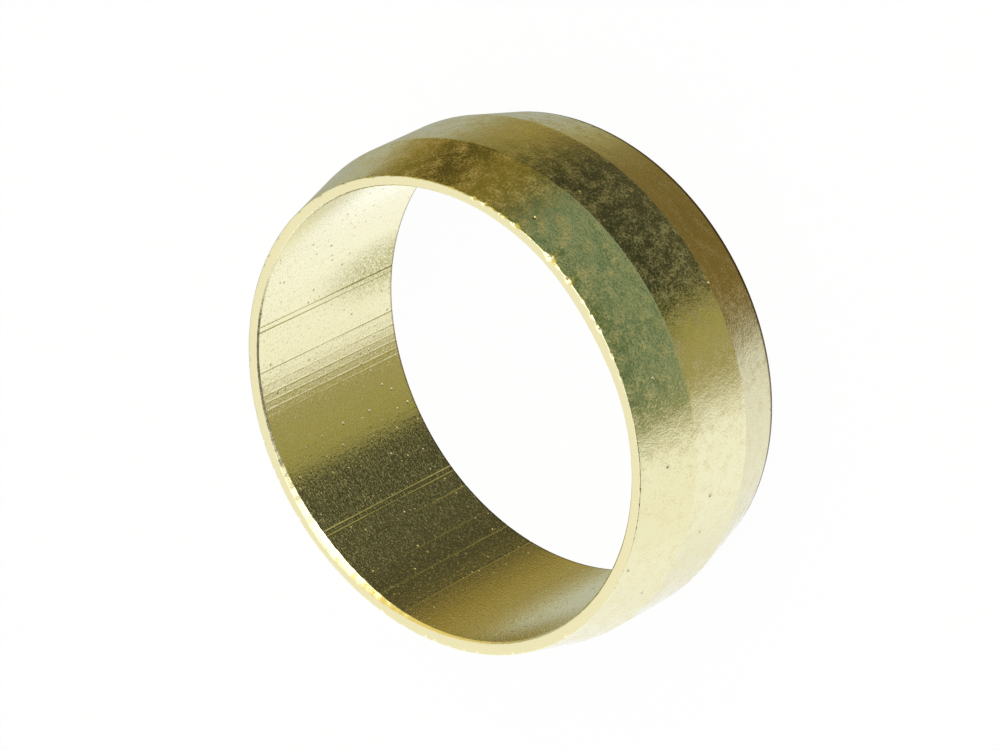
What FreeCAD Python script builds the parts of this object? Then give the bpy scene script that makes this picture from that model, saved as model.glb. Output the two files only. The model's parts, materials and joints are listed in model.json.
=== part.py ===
# Compression olive for 22 mm copper tube: one turned brass ring with a plain bore,
# a short cylindrical crown and the same taper running down to a thin rim at each end.
# It stands on its end rim: +Z is the bore axis and the origin is the centre of the lower rim.
import FreeCAD, Part
import os
import Sketcher

PART_NAME = "olive"
PARTS_FOLDER = "parts"
SAME_PLACE = 1e-6

# Driving dimensions in millimetres: alias, value, meaning
SIZES = [
    ("tube_diameter", 22.0, "outside diameter of the tube that the olive slides over"),
    ("slip_clearance", 0.1, "radial gap between the tube and the bore"),
    ("end_wall", 0.57, "wall thickness at each end rim"),
    ("crown_rise", 0.78, "how far the crown stands out beyond the end rims, on the radius"),
    ("taper_length", 3.1, "axial length of each tapered face"),
    ("land_length", 3.75, "axial length of the cylindrical crown between the tapers"),
    ("bore_chamfer", 0.15, "deburring chamfer at each mouth of the bore"),
    ("crown_blend", 0.6, "radius where each taper runs into the crown"),
    ("rim_break", 0.06, "radius on the outer edge of each end rim"),
]

# Formulas that several features share, written for the document's expression engine
BORE_RADIUS = "Sizes.tube_diameter / 2 + Sizes.slip_clearance"
# an edge break takes at most a third of the rim, so that a flat ring is always left between the two
CHAMFER_SIZE = "min(Sizes.bore_chamfer; Sizes.end_wall / 3)"
BREAK_RADIUS = "min(Sizes.rim_break; Sizes.end_wall / 3)"


def make_sizes(doc):
    """Spreadsheet with one aliased cell for each driving dimension."""
    sheet = doc.addObject("Spreadsheet::Sheet", "Sizes")
    for row, (alias, value, meaning) in enumerate(SIZES, start=1):
        sheet.set(f"A{row}", alias)
        sheet.set(f"B{row}", str(value))
        sheet.set(f"C{row}", meaning)
        sheet.setAlias(f"B{row}", alias)
    doc.recompute()
    return sheet


def origin_plane(body, role):
    """One of the body's own origin planes, found by its role."""
    return next(feature for feature in body.Origin.OriginFeatures if feature.Role == role)


def section_points(sheet):
    """Corners of the half section as (radius, height), from the lower bore mouth round to the upper one."""
    bore = sheet.tube_diameter / 2 + sheet.slip_clearance
    rim = bore + sheet.end_wall
    crown = rim + sheet.crown_rise
    land_start = sheet.taper_length
    land_end = land_start + sheet.land_length
    top = land_end + sheet.taper_length
    return [(bore, 0), (rim, 0), (crown, land_start), (crown, land_end), (rim, top), (bore, top)]


def draw_section(body, sheet):
    """Half section on the XZ plane, held by constraints that follow the spreadsheet."""
    sketch = body.newObject("Sketcher::SketchObject", "Section")
    sketch.AttachmentSupport = [(origin_plane(body, "XZ_Plane"), "")]
    sketch.MapMode = "FlatFace"
    corners = [FreeCAD.Vector(radius, height, 0) for radius, height in section_points(sheet)]
    for start, end in zip(corners, corners[1:] + corners[:1]):
        sketch.addGeometry(Part.LineSegment(start, end), False)
    lower_rim, lower_taper, land, upper_taper, upper_rim, bore = range(len(corners))
    first_point, second_point = 1, 2
    for line in range(len(corners)):
        following = (line + 1) % len(corners)
        sketch.addConstraint(Sketcher.Constraint("Coincident", line, second_point, following, first_point))
    for line in (lower_rim, upper_rim):
        sketch.addConstraint(Sketcher.Constraint("Horizontal", line))
    for line in (land, bore):
        sketch.addConstraint(Sketcher.Constraint("Vertical", line))
    x_axis, origin = -1, (-1, 1)
    sketch.addConstraint(Sketcher.Constraint("PointOnObject", lower_rim, first_point, x_axis))

    def drive(kind, first, second, start_value, name, formula):
        """A dimension between two points whose size follows a formula of the spreadsheet."""
        index = sketch.addConstraint(Sketcher.Constraint(kind, *first, *second, start_value))
        sketch.renameConstraint(index, name)
        sketch.setExpression(f"Constraints.{name}", formula)

    def line_ends(line):
        return (line, first_point), (line, second_point)

    bore_radius = corners[0].x
    drive("DistanceX", origin, (lower_rim, first_point), bore_radius, "bore_radius", BORE_RADIUS)
    drive("DistanceX", *line_ends(lower_rim), sheet.end_wall, "end_wall", "Sizes.end_wall")
    drive("DistanceX", *line_ends(lower_taper), sheet.crown_rise, "lower_rise", "Sizes.crown_rise")
    drive("DistanceY", *line_ends(lower_taper), sheet.taper_length, "lower_taper", "Sizes.taper_length")
    drive("DistanceY", *line_ends(land), sheet.land_length, "land", "Sizes.land_length")
    upper_ends = (upper_taper, second_point), (upper_taper, first_point)
    drive("DistanceX", *upper_ends, sheet.crown_rise, "upper_rise", "Sizes.crown_rise")
    drive("DistanceY", *line_ends(upper_taper), sheet.taper_length, "upper_taper", "Sizes.taper_length")
    return sketch


def circles_at(feature, places):
    """Names of the feature's closed circular edges at the given (radius, height) places."""
    names = []
    for number, edge in enumerate(feature.Shape.Edges, start=1):
        if not (edge.isClosed() and isinstance(edge.Curve, Part.Circle)):
            continue
        circle = edge.Curve
        for radius, height in places:
            if abs(circle.Radius - radius) < SAME_PLACE and abs(circle.Center.z - height) < SAME_PLACE:
                names.append(f"Edge{number}")
    if len(names) != len(places):
        raise RuntimeError(f"{feature.Name}: found {len(names)} of {len(places)} edges")
    return names


def dress_edges(body, kind, name, base, places, size_property, formula):
    """A fillet or chamfer on the circular edges at the given places, sized by a formula."""
    feature = body.newObject(kind, name)
    feature.Base = (base, circles_at(base, places))
    feature.setExpression(size_property, formula)
    body.Document.recompute()
    return feature


def make_olive(doc, sheet):
    """The ring: its section turned about the bore axis, then every edge broken as on the lathe."""
    body = doc.addObject("PartDesign::Body", "Olive")
    body.Label = PART_NAME
    section = draw_section(body, sheet)
    turned = body.newObject("PartDesign::Revolution", "Turned")
    turned.Profile = section
    turned.ReferenceAxis = (section, ["V_Axis"])
    turned.Angle = 360
    doc.recompute()
    lower_mouth, lower_rim, lower_crown, upper_crown, upper_rim, upper_mouth = section_points(sheet)
    blended = dress_edges(
        body, "PartDesign::Fillet", "CrownBlend", turned, [lower_crown, upper_crown],
        "Radius", "Sizes.crown_blend")
    deburred = dress_edges(
        body, "PartDesign::Chamfer", "BoreChamfer", blended, [lower_mouth, upper_mouth],
        "Size", CHAMFER_SIZE)
    dress_edges(
        body, "PartDesign::Fillet", "RimBreak", deburred, [lower_rim, upper_rim],
        "Radius", BREAK_RADIUS)
    return body


def check(doc, bodies):
    """Stops before anything is written if a feature failed or a body isn't one valid solid."""
    for item in doc.Objects:
        if {"Invalid", "Error"} & set(item.State):
            raise RuntimeError(f"{item.Name} failed: {item.State}")
    for body in bodies:
        shape = body.Shape
        if shape.isNull() or not shape.isValid() or len(shape.Solids) != 1:
            raise RuntimeError(f"{body.Label} isn't one valid solid")


def export(bodies):
    """One STEP file for each body, named by its label."""
    os.makedirs(PARTS_FOLDER, exist_ok=True)
    for body in bodies:
        body.Shape.exportStep(os.path.join(PARTS_FOLDER, f"{body.Label}.step"))
        box = body.Shape.optimalBoundingBox(False)
        size = f"{box.XLength:.3f} x {box.YLength:.3f} x {box.ZLength:.3f} mm"
        print(f"{body.Label}: {size}, {body.Shape.Volume:.2f} mm3")


def main():
    doc = FreeCAD.newDocument("CompressionOlive")
    sheet = make_sizes(doc)
    bodies = [make_olive(doc, sheet)]
    check(doc, bodies)
    export(bodies)


main()
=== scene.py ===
# Looks of a brass compression olive: a turned ring with a drawn bore, standing on its lower rim.
import json
import math

import bpy
import numpy as np
from mathutils import Matrix, Quaternion, Vector


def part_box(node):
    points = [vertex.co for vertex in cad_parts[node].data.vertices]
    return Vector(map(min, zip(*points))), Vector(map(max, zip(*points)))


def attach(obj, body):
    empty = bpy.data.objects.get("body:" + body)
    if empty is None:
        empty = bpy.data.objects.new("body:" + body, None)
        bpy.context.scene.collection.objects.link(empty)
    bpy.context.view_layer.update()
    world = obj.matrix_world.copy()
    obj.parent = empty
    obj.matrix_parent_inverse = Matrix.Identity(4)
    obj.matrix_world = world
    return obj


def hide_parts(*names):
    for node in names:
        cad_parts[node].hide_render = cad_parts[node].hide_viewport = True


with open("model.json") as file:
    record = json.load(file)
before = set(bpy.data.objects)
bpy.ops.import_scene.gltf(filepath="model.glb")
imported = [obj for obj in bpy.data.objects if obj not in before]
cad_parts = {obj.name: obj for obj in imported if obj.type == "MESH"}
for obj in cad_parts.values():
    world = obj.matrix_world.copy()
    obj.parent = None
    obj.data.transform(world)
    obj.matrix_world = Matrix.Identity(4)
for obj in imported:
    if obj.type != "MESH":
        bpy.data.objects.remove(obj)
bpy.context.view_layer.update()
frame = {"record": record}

MM = 0.001
UM = 0.001 * MM
NODE = "olive"
RING = "olive_ring"
BODY = "root"
SEED = 22

# The ring's section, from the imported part
mounts = {mount["name"]: mount for mount in frame["record"]["mounts"]}
node_low, node_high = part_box(NODE)
TOP = node_high.z
CROWN_RADIUS = node_high.x
BORE_RADIUS = mounts["tube_bore"]["dims"]["r_mm"] * MM
BORE_CHAMFER = (TOP - mounts["tube_bore"]["dims"]["length_mm"] * MM) / 2
TAPER_LENGTH = mounts["upper_taper"]["dims"]["length_mm"] * MM
RIM_RADIUS = 2 * mounts["upper_taper"]["dims"]["r_mm"] * MM - CROWN_RADIUS
# The roundings of its edges, which the record doesn't give
CROWN_BLEND = 0.6 * MM
RIM_BREAK = 0.06 * MM
EDGE_EASE = 0.012 * MM

# The ring's mesh: even steps round the axis, and extra points this near to both ends of each long face
SEGMENTS = 960
LONG_FACE = 1 * MM
NEAR_EDGE = np.array([0.02, 0.1, 0.3]) * MM

# Draw lines in the bore that the photograph shows: angle from +X in degrees, depth
DRAW_LINES = [
    (26.6, 10 * UM), (31.0, 8 * UM), (47.1, 36 * UM), (48.6, 32 * UM), (59.4, 12 * UM),
    (63.0, 5 * UM), (65.4, 6 * UM), (67.3, 4 * UM), (69.2, 6 * UM), (70.9, 4 * UM),
    (102.4, 34 * UM), (103.8, 28 * UM), (108.7, 24 * UM), (117.3, 24 * UM), (123.8, 22 * UM),
    (131.4, 32 * UM),
]
# More of them where it can't see: how many, and their ranges of angle and of depth in micrometres
HIDDEN_DRAW_LINES = 14
HIDDEN_DRAW_ANGLES = (180, 360)
HIDDEN_DRAW_DEPTHS = (10, 34)
DRAW_LINE_WIDTH = 34 * UM
# The share by which a draw line's depth sways along the bore
DRAW_LINE_SWAY = 0.25
# Columns of the mesh across a draw line, in widths from its middle
DRAW_LINE_STEPS = (-2.4, -1.5, -0.9, -0.45, 0, 0.45, 0.9, 1.5, 2.4)
# The deburring tool leaned on one stretch of the upper mouth and hardly touched the rest
LIGHT_DEBURR = 0.08 * MM
HEAVY_DEBURR = 0.26 * MM
HEAVY_DEBURR_ANGLE = 107
HEAVY_DEBURR_SPREAD = 23
# Its chatter makes the width waver by this share, in these numbers of waves round the ring
CHATTER = 0.2
CHATTER_WAVES = (7, 19, 43, 71, 113)

# Flats knocked on the outer edge of the upper rim: angle from +X in degrees, depth, half width
DINGS = [
    (271.0, 0.07 * MM, 0.14 * MM), (274.8, 0.08 * MM, 0.18 * MM), (284.0, 0.1 * MM, 0.3 * MM),
    (290.5, 0.16 * MM, 0.38 * MM), (302.0, 0.11 * MM, 0.22 * MM), (311.0, 0.08 * MM, 0.14 * MM),
]
# Small ones at random: how many, and their ranges of depth and of half width in millimetres
SMALL_DINGS = 60
SMALL_DING_DEPTHS = (0.04, 0.07)
SMALL_DING_HALF_WIDTHS = (0.08, 0.2)

# The upper taper is turned a little off the bore's centre, and a burr leans into the mouth
TAPER_OFF_CENTRE = 0.1 * MM
TAPER_OFF_ANGLE = 130
BURR_ANGLE = 272
BURR_SPREAD = 16
BURR_LEAN = 0.15 * MM
BURR_HEIGHT = 0.5 * MM

# The photograph's view: where the camera stands, how it is rolled and where it sees the ring's middle
IMAGE_WIDTH, IMAGE_HEIGHT = 1000, 750
FOCAL_PIXELS = 5600
MIDDLE_PIXEL_X, MIDDLE_PIXEL_Y = 507.5, 381.9
CAMERA_DISTANCE = 261.2 * MM
CAMERA_ELEVATION = math.radians(45.23)
CAMERA_ROLL = math.radians(-117.04)
SENSOR_WIDTH = 36.0
NEAREST_SEEN = 10 * MM


def add(tree, kind, inputs=None, **settings):
    """A node with its settings and inputs, where an input that is another node's output is linked."""
    node = tree.nodes.new(kind)
    for name, value in settings.items():
        setattr(node, name, value)
    for key, value in (inputs or {}).items():
        if isinstance(value, bpy.types.NodeSocket):
            tree.links.new(value, node.inputs[key])
        else:
            node.inputs[key].default_value = value
    return node


def mixed(tree, factor, first, second):
    """A colour between two others."""
    node = add(tree, "ShaderNodeMixRGB", {"Fac": factor, "Color1": first, "Color2": second})
    return node.outputs["Color"]


def ramp(tree, value, start, full, low=0.0, high=1.0):
    """A smooth step from low to high as a value goes from start to full."""
    node = add(tree, "ShaderNodeMapRange",
               {"Value": value, "From Min": start, "From Max": full, "To Min": low, "To Max": high},
               interpolation_type="SMOOTHSTEP")
    return node.outputs["Result"]


def math_node(tree, operation, *values):
    """The result of an operation on plain values or other nodes' outputs."""
    node = add(tree, "ShaderNodeMath", dict(enumerate(values)), operation=operation)
    return node.outputs[0]


def new_object(name, data):
    """An object of the scene that holds this data."""
    obj = bpy.data.objects.new(name, data)
    bpy.context.scene.collection.objects.link(obj)
    return obj


def compass(azimuth, elevation=0):
    """The direction at this angle from +X towards +Y, and this far above level, in degrees."""
    around, rise = math.radians(azimuth), math.radians(elevation)
    return Vector((math.cos(around) * math.cos(rise), math.sin(around) * math.cos(rise), math.sin(rise)))


def make_camera():
    """The photograph's camera: it looks down into the ring, and its roll tips the ring over."""
    middle = Vector((0, 0, TOP / 2))
    forward = Vector((0, math.cos(CAMERA_ELEVATION), -math.sin(CAMERA_ELEVATION)))
    camera = bpy.data.cameras.new("camera")
    camera.sensor_width = SENSOR_WIDTH
    camera.lens = SENSOR_WIDTH * FOCAL_PIXELS / IMAGE_WIDTH
    camera.shift_x = (IMAGE_WIDTH / 2 - MIDDLE_PIXEL_X) / IMAGE_WIDTH
    camera.shift_y = (MIDDLE_PIXEL_Y - IMAGE_HEIGHT / 2) / IMAGE_WIDTH
    camera.clip_start = NEAREST_SEEN
    obj = new_object("camera", camera)
    obj.location = middle - forward * CAMERA_DISTANCE
    obj.rotation_mode = "QUATERNION"
    obj.rotation_quaternion = forward.to_track_quat("-Z", "Y") @ Quaternion((0, 0, 1), CAMERA_ROLL)
    bpy.context.scene.camera = obj


UP = Vector((0, 0, 1))
WHITE = (1, 1, 1, 1)
# What the ring reflects: an uneven tan room with coloured panels, and plainer panels in front of those.
# A panel has its colour and its bounds as (direction, start, full): it fades in as the part of a view along
# that direction goes from start to full. It hangs in front of the panels above it
ROOM = (0.42, 0.37, 0.17, 1)
COLOURED_PANELS = [
    # gold wall towards the camera
    ((0.34, 0.305, 0.095, 1), [(compass(278), 0.54, 0.66)]),
    # orange bench below
    ((0.19, 0.13, 0.042, 1), [(-UP, 0.82, 0.94), (compass(300), -0.1, 0.08)]),
    # brown wall towards +X, with two darker posts in it
    ((0.3, 0.22, 0.05, 1), [(compass(355), 0.58, 0.68), (-UP, -0.1, 0.1)]),
    ((0.17, 0.14, 0.05, 1), [(compass(328, -24), 0.975, 0.992)]),
    ((0.13, 0.09, 0.03, 1), [(compass(7, -27), 0.982, 0.99)]),
    # dark card
    ((0.068, 0.063, 0.037, 1),
     [(compass(354), -0.02, 0.02), (compass(260), -0.28, 0.07), (-UP, 0.5, 0.62), (UP, -0.92, -0.82)]),
    # green screen just below the horizon, lighter towards its foot
    ((0.15, 0.19, 0.1, 1), [(compass(280), 0.55, 0.75), (UP, -0.6, -0.45), (-UP, -0.1, 0.1)]),
    ((0.4, 0.46, 0.335, 1), [(compass(280), 0.55, 0.75), (UP, -0.6, -0.45), (-UP, 0.2, 0.38)]),
]
PLAIN_PANELS = [
    # grey strip beside the white side
    ((0.55, 0.58, 0.54, 1), [(compass(130), -0.01, 0.01), (compass(56), 0.4, 0.6)]),
    # white side, its brighter and its warmer end, its foot and the ceiling
    ((1.07, 1.09, 1.18, 1),
     [(compass(140), -0.01, 0.29), (compass(187), -0.04, 0.1), (compass(152), 0, 0.08)]),
    ((1.25, 1.29, 1.48, 1),
     [(compass(140), -0.01, 0.29), (compass(175), 0, 0.08), (compass(85), 0.35, 0.68)]),
    ((1.0, 1.0, 0.98, 1), [(compass(140), -0.01, 0.29), (compass(215), 0.5, 0.8)]),
    ((0.86, 0.86, 0.9, 1), [(-UP, 0.84, 0.95), (compass(140), 0.05, 0.25)]),
    ((0.96, 0.95, 0.9, 1), [(UP, 0.3, 0.6)]),
    # dark corner on one side of the camera, and a warm card on the other
    ((0.12, 0.12, 0.11, 1), [(compass(215, 40), 0.8, 0.9)]),
    ((0.85, 0.68, 0.22, 1), [(compass(350, 30), 0.8, 0.93)]),
]
# The room's patches: how fine they are, and the range of their brightness
ROOM_PATCHES = 20.0
DARK_PATCH, LIGHT_PATCH = 0.5, 1.5
# The floor, and the share in which the camera sees it as plain white
FLOOR_HALF_WIDTH = 100 * CROWN_RADIUS
FLOOR_COLOUR = (0.9, 0.9, 0.9, 1)
FLOOR_WHITE_SHARE = 0.97
# Soft lamps: name, direction, distance, width and height in metres, brightness of the face
LAMPS = [
    ("key", compass(302, 44), 0.35, 0.3, 0.1, 3.0),
    ("top", compass(250, 80), 0.5, 0.4, 0.4, 0.8),
]


def hang(tree, direction, colour, panels):
    """The colour seen in a direction, with panels hung in front of it."""
    for panel, bounds in panels:
        share = 1.0
        for towards, start, full in bounds:
            dot = add(tree, "ShaderNodeVectorMath", {0: direction, 1: towards}, operation="DOT_PRODUCT")
            share = math_node(tree, "MULTIPLY", ramp(tree, dot.outputs["Value"], start, full), share)
        colour = mixed(tree, share, colour, panel)
    return colour


def uneven(tree, direction, colour):
    """A colour that is lighter and darker in small patches."""
    patches = noise(tree, direction, ROOM_PATCHES, rough=0.6)
    shade = ramp(tree, patches, start=0.3, full=0.7, low=DARK_PATCH, high=LIGHT_PATCH)
    scaled = add(tree, "ShaderNodeVectorMath", {0: colour, "Scale": shade}, operation="SCALE")
    return scaled.outputs["Vector"]


def make_world():
    """The room with its panels, for the ring to reflect. The camera itself sees plain white."""
    world = bpy.data.worlds.new("studio")
    bpy.context.scene.world = world
    world.use_nodes = True
    tree = world.node_tree
    tree.nodes.clear()
    direction = add(tree, "ShaderNodeTexCoord").outputs["Generated"]
    coloured = uneven(tree, direction, hang(tree, direction, ROOM, COLOURED_PANELS))
    colour = hang(tree, direction, coloured, PLAIN_PANELS)
    seen = mixed(tree, add(tree, "ShaderNodeLightPath").outputs["Is Camera Ray"], colour, WHITE)
    background = add(tree, "ShaderNodeBackground", {"Color": seen, "Strength": 1})
    add(tree, "ShaderNodeOutputWorld", {"Surface": background.outputs[0]})


def make_floor():
    """A pale floor that the camera sees as nearly white, with the ring's soft shadow left in it."""
    half = FLOOR_HALF_WIDTH
    corners = [(-half, -half, 0), (half, -half, 0), (half, half, 0), (-half, half, 0)]
    mesh = bpy.data.meshes.new("floor")
    mesh.from_pydata(corners, [], [(0, 1, 2, 3)])
    floor = new_object("floor", mesh)
    # the ring reflects the room's panels, also from below
    floor.visible_glossy = False
    material, tree = new_material("pale_floor")
    matt = add(tree, "ShaderNodeBsdfDiffuse", {"Color": FLOOR_COLOUR})
    glow = add(tree, "ShaderNodeEmission", {"Color": WHITE, "Strength": 1})
    camera_ray = add(tree, "ShaderNodeLightPath").outputs["Is Camera Ray"]
    share = math_node(tree, "MULTIPLY", camera_ray, FLOOR_WHITE_SHARE)
    mix = add(tree, "ShaderNodeMixShader", {0: share, 1: matt.outputs[0], 2: glow.outputs[0]})
    add(tree, "ShaderNodeOutputMaterial", {"Surface": mix.outputs[0]})
    mesh.materials.append(material)


def make_lamp(name, direction, distance, width, height, radiance):
    """A soft lamp that looks at the ring from this direction, with this brightness of its own face."""
    light = bpy.data.lights.new(name, "AREA")
    light.shape = "RECTANGLE"
    light.size = width
    light.size_y = height
    light.energy = radiance * math.pi * width * height
    lamp = new_object(name, light)
    lamp.location = direction * distance
    lamp.rotation_mode = "QUATERNION"
    lamp.rotation_quaternion = (-direction).to_track_quat("-Z", "Y")


def new_material(name):
    """An empty material, and the tree of nodes to fill."""
    material = bpy.data.materials.new(name)
    material.use_nodes = True
    material.node_tree.nodes.clear()
    return material, material.node_tree


def place_in_mm(tree, stretch=(1, 1, 1)):
    """The point on the ring in millimetres, with each axis squeezed by a factor."""
    here = add(tree, "ShaderNodeTexCoord").outputs["Object"]
    factors = [factor / MM for factor in stretch]
    scaled = add(tree, "ShaderNodeVectorMath", {0: here, 1: factors}, operation="MULTIPLY")
    return scaled.outputs["Vector"]


def noise(tree, place, fineness, detail=2.0, rough=0.5):
    """Cloudy noise about 0.5, with this many clouds to the unit of its place."""
    node = add(tree, "ShaderNodeTexNoise",
               {"Vector": place, "Scale": fineness, "Detail": detail, "Roughness": rough})
    return node.outputs["Fac"]


def pits(tree, place, per_mm, reach):
    """1 in round pits of many sizes scattered over the surface, 0 between them."""
    cells = add(tree, "ShaderNodeTexVoronoi", {"Vector": place, "Scale": per_mm})
    size = add(tree, "ShaderNodeSeparateColor", {"Color": cells.outputs["Color"]}).outputs["Red"]
    return ramp(tree, math_node(tree, "DIVIDE", cells.outputs["Distance"], size), reach, 0.0)


def relief(tree, layers):
    """The surface normal over height layers, each (height socket, micrometres)."""
    normal = None
    for height, depth in layers:
        inputs = {"Height": height, "Strength": 1.0, "Distance": depth * UM}
        if normal is not None:
            inputs["Normal"] = normal
        normal = add(tree, "ShaderNodeBump", inputs).outputs["Normal"]
    return normal


def metal(tree, colour, roughness, normal, edge_tint=WHITE):
    """Finishes a material as bare metal, with the tint that it has where it is seen edge on."""
    shader = add(tree, "ShaderNodeBsdfPrincipled",
                 {"Base Color": colour, "Metallic": 1.0, "Roughness": roughness, "Normal": normal,
                  "Specular Tint": edge_tint})
    add(tree, "ShaderNodeOutputMaterial", {"Surface": shader.outputs[0]})


BRASS = (0.88, 0.83, 0.53, 1)
GREEN_BRASS = (0.86, 0.835, 0.54, 1)
RED_BRASS = (0.89, 0.82, 0.515, 1)
TARNISH = (0.6, 0.57, 0.33, 1)
# painted shade: the dark colour of a thin line along the ring's lower end, where it meets the floor
EDGE_PAINTED_SHADE = (0.12, 0.1, 0.06, 1)
DULL_EDGE_TINT = (0.8, 0.785, 0.73, 1)
# How many clouds of grain a millimetre of the bore and the outside has
GRAIN = 9.0
# Painted shade along the lower end, a dark line where the ring meets the floor: the heights in millimetres
# at which it starts and is full
EDGE_SHADE_START, EDGE_SHADE_FULL = 0.3, 0.12
# The upper taper and a part of the crown carry a painted dark reflection in patches on one side: that side's
# direction, and how far out along it, in millimetres, the patches start and are full
PAINTED_DARK_REFLECTION = (0.54, 0.58, 0.36, 1)
PAINTED_REFLECTION_SIDE = compass(295, 40)
PAINTED_REFLECTION_START, PAINTED_REFLECTION_FULL = 11.1, 13.0
# A smudge in the bore: its angle from +X, its height, reach and core in millimetres, and how much a
# millimetre along the bore counts towards its reach
STAIN = (0.5, 0.46, 0.2, 1)
STAIN_ANGLE, STAIN_HEIGHT = 45, 0.8
STAIN_REACH, STAIN_CORE = 2.2, 0.4
STAIN_LENGTHWISE = 0.35


def painted_edge_shade(tree, colour, place):
    """A colour that turns dark in a thin line of painted shade along the ring's lower end."""
    height = add(tree, "ShaderNodeSeparateXYZ", {"Vector": place}).outputs["Z"]
    return mixed(tree, ramp(tree, height, EDGE_SHADE_START, EDGE_SHADE_FULL), colour, EDGE_PAINTED_SHADE)


def stain(tree):
    """1 at the middle of the bore's smudge, fading to 0 at its reach."""
    place = place_in_mm(tree, (1, 1, STAIN_LENGTHWISE))
    middle = compass(STAIN_ANGLE) * BORE_RADIUS / MM + UP * STAIN_HEIGHT * STAIN_LENGTHWISE
    apart = add(tree, "ShaderNodeVectorMath", {0: place, 1: middle}, operation="DISTANCE")
    return ramp(tree, apart.outputs["Value"], STAIN_REACH, STAIN_CORE)


def drawn_bore():
    """The bore: bright drawn tube with fine lengthwise lines, small pits and a fine grain."""
    material, tree = new_material("brass_drawn")
    place = place_in_mm(tree)
    lines = noise(tree, place_in_mm(tree, stretch=(1, 1, 0.03)), fineness=7.0, detail=3.0, rough=0.65)
    grain = noise(tree, place, GRAIN, rough=0.7)
    ripple = noise(tree, place_in_mm(tree, stretch=(0.3, 0.3, 1)), fineness=11.0, rough=0.7)
    tint = mixed(tree, ramp(tree, grain, start=0.35, full=0.65), GREEN_BRASS, RED_BRASS)
    streaked = mixed(tree, ramp(tree, lines, start=0.55, full=0.8, high=0.4), tint, TARNISH)
    smudge = math_node(tree, "MULTIPLY", stain(tree), ramp(tree, grain, start=0.3, full=0.6))
    stained = mixed(tree, smudge, streaked, STAIN)
    roughness = ramp(tree, grain, start=0.45, full=0.75, low=0.07, high=0.5)
    small_pits = pits(tree, place, per_mm=2.2, reach=0.22)
    layers = [(lines, 4.0), (ripple, 12.0), (grain, 7.0), (small_pits, -50.0)]
    # the bore's lower end gets a thin line of painted shade
    metal(tree, painted_edge_shade(tree, stained, place), roughness, relief(tree, layers))
    return material


def painted_reflection_mask(tree, place):
    """1 on the side of the ring that carries the painted dark reflection, fading to 0 round it."""
    outwards = add(tree, "ShaderNodeVectorMath", {0: place, 1: PAINTED_REFLECTION_SIDE}, operation="DOT_PRODUCT")
    return ramp(tree, outwards.outputs["Value"], PAINTED_REFLECTION_START, PAINTED_REFLECTION_FULL)


def turned_outside():
    """The tapers and the crown: turned, then tumbled to a mottled satin, with a painted dark reflection in
    patches on one side.
    """
    material, tree = new_material("brass_turned")
    place = place_in_mm(tree)
    mottle = noise(tree, place, fineness=1.6, detail=3.0, rough=0.6)
    grain = noise(tree, place, GRAIN, rough=0.7)
    turning = noise(tree, place_in_mm(tree, stretch=(0.02, 0.02, 1)), fineness=14.0, detail=1.0)
    mottle_share = 0.8
    wear_and_reflection_patches = math_node(tree, "MULTIPLY_ADD", mottle, mottle_share, grain)
    colour = mixed(tree, ramp(tree, wear_and_reflection_patches, start=0.7, full=1.1), GREEN_BRASS, RED_BRASS)
    # painted reflection: greenish dark patches on one side of the upper taper and the crown
    patches = math_node(tree, "MULTIPLY", ramp(tree, wear_and_reflection_patches, start=1.1, full=0.7), painted_reflection_mask(tree, place))
    with_painted_reflection = mixed(tree, patches, colour, PAINTED_DARK_REFLECTION)
    roughness = ramp(tree, wear_and_reflection_patches, start=0.65, full=1.35, low=0.08, high=0.58)
    few_pits = pits(tree, place, per_mm=0.8, reach=0.12)
    layers = [(turning, 1.0), (mottle, 20.0), (grain, 11.0), (few_pits, -70.0)]
    # the outside's lower end gets a thin line of painted shade
    metal(tree, painted_edge_shade(tree, with_painted_reflection, place), roughness, relief(tree, layers), DULL_EDGE_TINT)
    return material


def cut_rim():
    """The end faces and the bore's chamfers, fresh from the cutting tool."""
    material, tree = new_material("brass_cut")
    place = place_in_mm(tree)
    grain = noise(tree, place, fineness=7.0, detail=3.0, rough=0.6)
    colour = mixed(tree, ramp(tree, grain, start=0.35, full=0.65), BRASS, RED_BRASS)
    roughness = ramp(tree, grain, start=0.3, full=0.7, low=0.2, high=0.34)
    metal(tree, colour, roughness, relief(tree, [(grain, 10.0)]))
    return material


def run(start, end, steps):
    """Points from one corner to the next, crowded towards the ends of a long face to hold its edges."""
    length = (end - start).length
    places = np.linspace(0, 1, steps + 1)
    if length > LONG_FACE:
        near = NEAR_EDGE / length
        between = np.linspace(near[-1], 1 - near[-1], steps)[1:-1]
        places = [0, *near, *between, *(1 - near[::-1]), 1]
    return [start.lerp(end, place) for place in places]


def rounded_corner(before, corner, after, radius, steps):
    """Points of the arc that rounds a corner of the section."""
    inward = (before - corner).normalized()
    outward = (after - corner).normalized()
    half = inward.angle(outward) / 2
    setback = radius / math.tan(half)
    centre = corner + (inward + outward).normalized() * (radius / math.sin(half))
    first = corner + inward * setback - centre
    last = corner + outward * setback - centre
    sweep = first.angle_signed(last)
    points = []
    for step in range(steps + 1):
        turn = Matrix.Rotation(-sweep * step / steps, 2)
        points.append(centre + turn @ first)
    return points


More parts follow.
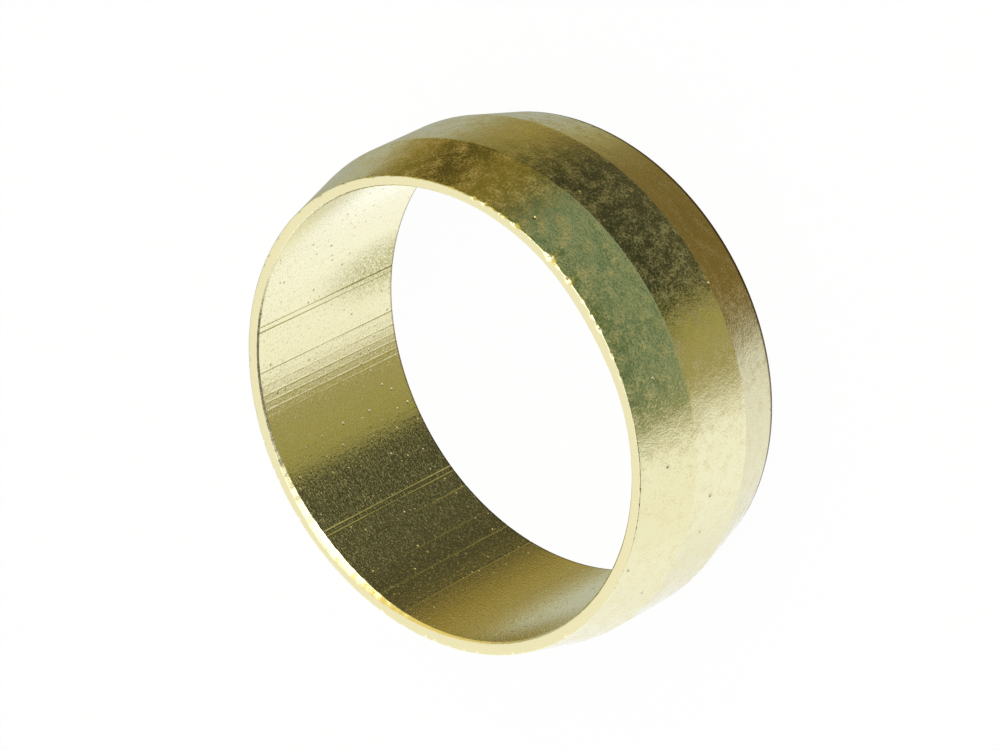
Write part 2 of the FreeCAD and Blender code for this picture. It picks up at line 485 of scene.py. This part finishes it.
def ring_section(upper_chamfer):
    """The closed section as (radius, height) points and, for each, the surface that starts there."""
    lower, upper = BORE_CHAMFER, upper_chamfer
    # radius, height, rounding, steps of the rounding, the surface that follows and its steps
    corners = [
        (BORE_RADIUS, lower, EDGE_EASE, 2, "bore", 8),
        (BORE_RADIUS, TOP - upper, EDGE_EASE, 2, "rim", 3),
        (BORE_RADIUS + upper, TOP, EDGE_EASE, 2, "rim", 3),
        (RIM_RADIUS, TOP, RIM_BREAK, 4, "outside", 5),
        (CROWN_RADIUS, TOP - TAPER_LENGTH, CROWN_BLEND, 4, "outside", 4),
        (CROWN_RADIUS, TAPER_LENGTH, CROWN_BLEND, 4, "outside", 4),
        (RIM_RADIUS, 0, RIM_BREAK, 4, "rim", 3),
        (BORE_RADIUS + lower, 0, EDGE_EASE, 2, "rim", 3),
    ]
    places = [Vector(corner[:2]) for corner in corners]
    arcs = []
    for index, (_, _, rounding, steps, _, _) in enumerate(corners):
        after = places[(index + 1) % len(places)]
        arcs.append(rounded_corner(places[index - 1], places[index], after, rounding, steps))
    points, surfaces = [], []
    for index, (_, _, _, _, surface, steps) in enumerate(corners):
        following = arcs[(index + 1) % len(arcs)]
        stretch = arcs[index][:-1] + run(arcs[index][-1], following[0], steps)[:-1]
        points += stretch
        surfaces += [surface] * len(stretch)
    return np.array(points), surfaces


def angle_apart(angles, centre):
    """How far each angle is from a centre, in degrees either way."""
    return (angles - centre + 180) % 360 - 180


def bell(angles, centre, spread):
    """1 at a centre angle, fading to 0 on both sides of it."""
    return np.exp(-(angle_apart(angles, centre) / spread) ** 2)


def deburr_width(angles, random):
    """Width of the upper mouth's chamfer round the ring."""
    heavy = bell(angles, HEAVY_DEBURR_ANGLE, HEAVY_DEBURR_SPREAD)
    waver = np.zeros_like(angles)
    for waves in CHATTER_WAVES:
        strength = random.uniform(0.5, 1)
        phase = random.uniform(0, 2 * np.pi)
        waver += strength * np.sin(np.radians(angles * waves) + phase) / len(CHATTER_WAVES)
    return (LIGHT_DEBURR + (HEAVY_DEBURR - LIGHT_DEBURR) * heavy) * (1 + CHATTER * waver)


def draw_lines(random):
    """Every draw line of the bore as (angle, depth): those of the photograph and more where it can't see."""
    hidden = []
    for _ in range(HIDDEN_DRAW_LINES):
        angle = random.uniform(*HIDDEN_DRAW_ANGLES)
        depth = random.uniform(*HIDDEN_DRAW_DEPTHS) * UM
        hidden.append((angle, depth))
    return DRAW_LINES + hidden


def ring_angles(lines):
    """Angles of the mesh's columns: even steps, and closer ones across each draw line."""
    even = np.arange(SEGMENTS) * 360 / SEGMENTS
    width = np.degrees(DRAW_LINE_WIDTH / BORE_RADIUS)
    close = [angle + step * width for angle, _ in lines for step in DRAW_LINE_STEPS]
    return np.unique(np.round(np.concatenate([even, close]), 2))


def draw_line_depth(lines, angles, heights, random):
    """Depth of the draw lines, which wax and wane along the bore."""
    depth = np.zeros((len(heights), len(angles)))
    width = np.degrees(DRAW_LINE_WIDTH / BORE_RADIUS)
    for centre, deepest in lines:
        waves = random.uniform(3, 9)
        phase = random.uniform(0, 6)
        swell = 1 - DRAW_LINE_SWAY + DRAW_LINE_SWAY * np.sin(heights / TOP * waves + phase)
        depth += deepest * swell[:, None] * bell(angles, centre, width)
    return depth


def ding_depth(angles, random):
    """How deep the dings along the upper rim's outer edge are."""
    dings = list(DINGS)
    for _ in range(SMALL_DINGS):
        angle = random.uniform(0, 360)
        deepest = random.uniform(*SMALL_DING_DEPTHS) * MM
        half_width = random.uniform(*SMALL_DING_HALF_WIDTHS) * MM
        dings.append((angle, deepest, half_width))
    depth = np.zeros_like(angles)
    for centre, deepest, half_width in dings:
        depth += deepest * bell(angles, centre, np.degrees(half_width / RIM_RADIUS))
    return depth


def burr_lean(radius, height, angles):
    """How far the burr at the upper mouth leans inwards."""
    to_mouth = np.hypot(radius - BORE_RADIUS, height - TOP)
    lean = BURR_LEAN * bell(angles, BURR_ANGLE, BURR_SPREAD)
    return lean * np.exp(-(to_mouth / BURR_HEIGHT) ** 2)


def taper_shift(radius, height):
    """How far the upper taper is off centre: fully at its rim, and not at all at the crown or the bore."""
    outer = (radius - BORE_RADIUS) / (RIM_RADIUS - BORE_RADIUS)
    up_taper = (height - TOP + TAPER_LENGTH) / TAPER_LENGTH
    return TAPER_OFF_CENTRE * np.clip(outer, 0, 1) * np.clip(up_taper, 0, 1)


def ring_points():
    """Every point of the ring by place in the section and angle, and the surface that starts there."""
    random = np.random.RandomState(SEED)
    lines = draw_lines(random)
    angles = ring_angles(lines)
    # round the ring, the section changes from narrow to wide with the deburring of its upper mouth
    narrow, surfaces = ring_section(LIGHT_DEBURR)
    wide, _ = ring_section(HEAVY_DEBURR)
    share = (deburr_width(angles, random) - LIGHT_DEBURR) / (HEAVY_DEBURR - LIGHT_DEBURR)
    section = narrow[:, None] + (wide - narrow)[:, None] * share[:, None]
    radius, height = section[..., 0], section[..., 1]
    in_bore = np.array([surface == "bore" for surface in surfaces])[:, None]
    radius = radius + in_bore * draw_line_depth(lines, angles, narrow[:, 1], random)
    # a ding is a flat at 45 degrees, pressed into the corner between the rim and the taper
    ding = np.maximum(0, (radius - RIM_RADIUS + height - TOP + ding_depth(angles, random)) / 2)
    radius = radius - ding - burr_lean(radius, height, angles)
    height = height - ding
    turn = np.radians(angles)
    shift = taper_shift(radius, height)
    x = radius * np.cos(turn) + shift * math.cos(math.radians(TAPER_OFF_ANGLE))
    y = radius * np.sin(turn) + shift * math.sin(math.radians(TAPER_OFF_ANGLE))
    return np.stack([x, y, height], axis=-1), surfaces


def make_ring():
    """The whole ring as one closed mesh that stands for the solid."""
    points, surfaces = ring_points()
    rows, columns, _ = points.shape
    row, column = np.meshgrid(np.arange(rows), np.arange(columns), indexing="ij")
    next_row, next_column = (row + 1) % rows, (column + 1) % columns
    around = [(row, column), (next_row, column), (next_row, next_column), (row, next_column)]
    quads = np.stack([r * columns + c for r, c in around], axis=-1).reshape(-1, 4)
    mesh = bpy.data.meshes.new(RING)
    mesh.from_pydata(points.reshape(-1, 3).tolist(), [], quads.tolist())
    materials = {"bore": drawn_bore(), "rim": cut_rim(), "outside": turned_outside()}
    for material in materials.values():
        mesh.materials.append(material)
    slots = [list(materials).index(surface) for surface in surfaces]
    mesh.polygons.foreach_set("material_index", np.repeat(slots, columns))
    mesh.shade_smooth()
    mesh.update()
    ring = new_object(RING, mesh)
    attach(ring, BODY)
    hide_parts(NODE)


bpy.context.scene.view_settings.view_transform = "Standard"
make_camera()
make_world()
make_floor()
for lamp in LAMPS:
    make_lamp(*lamp)
make_ring()
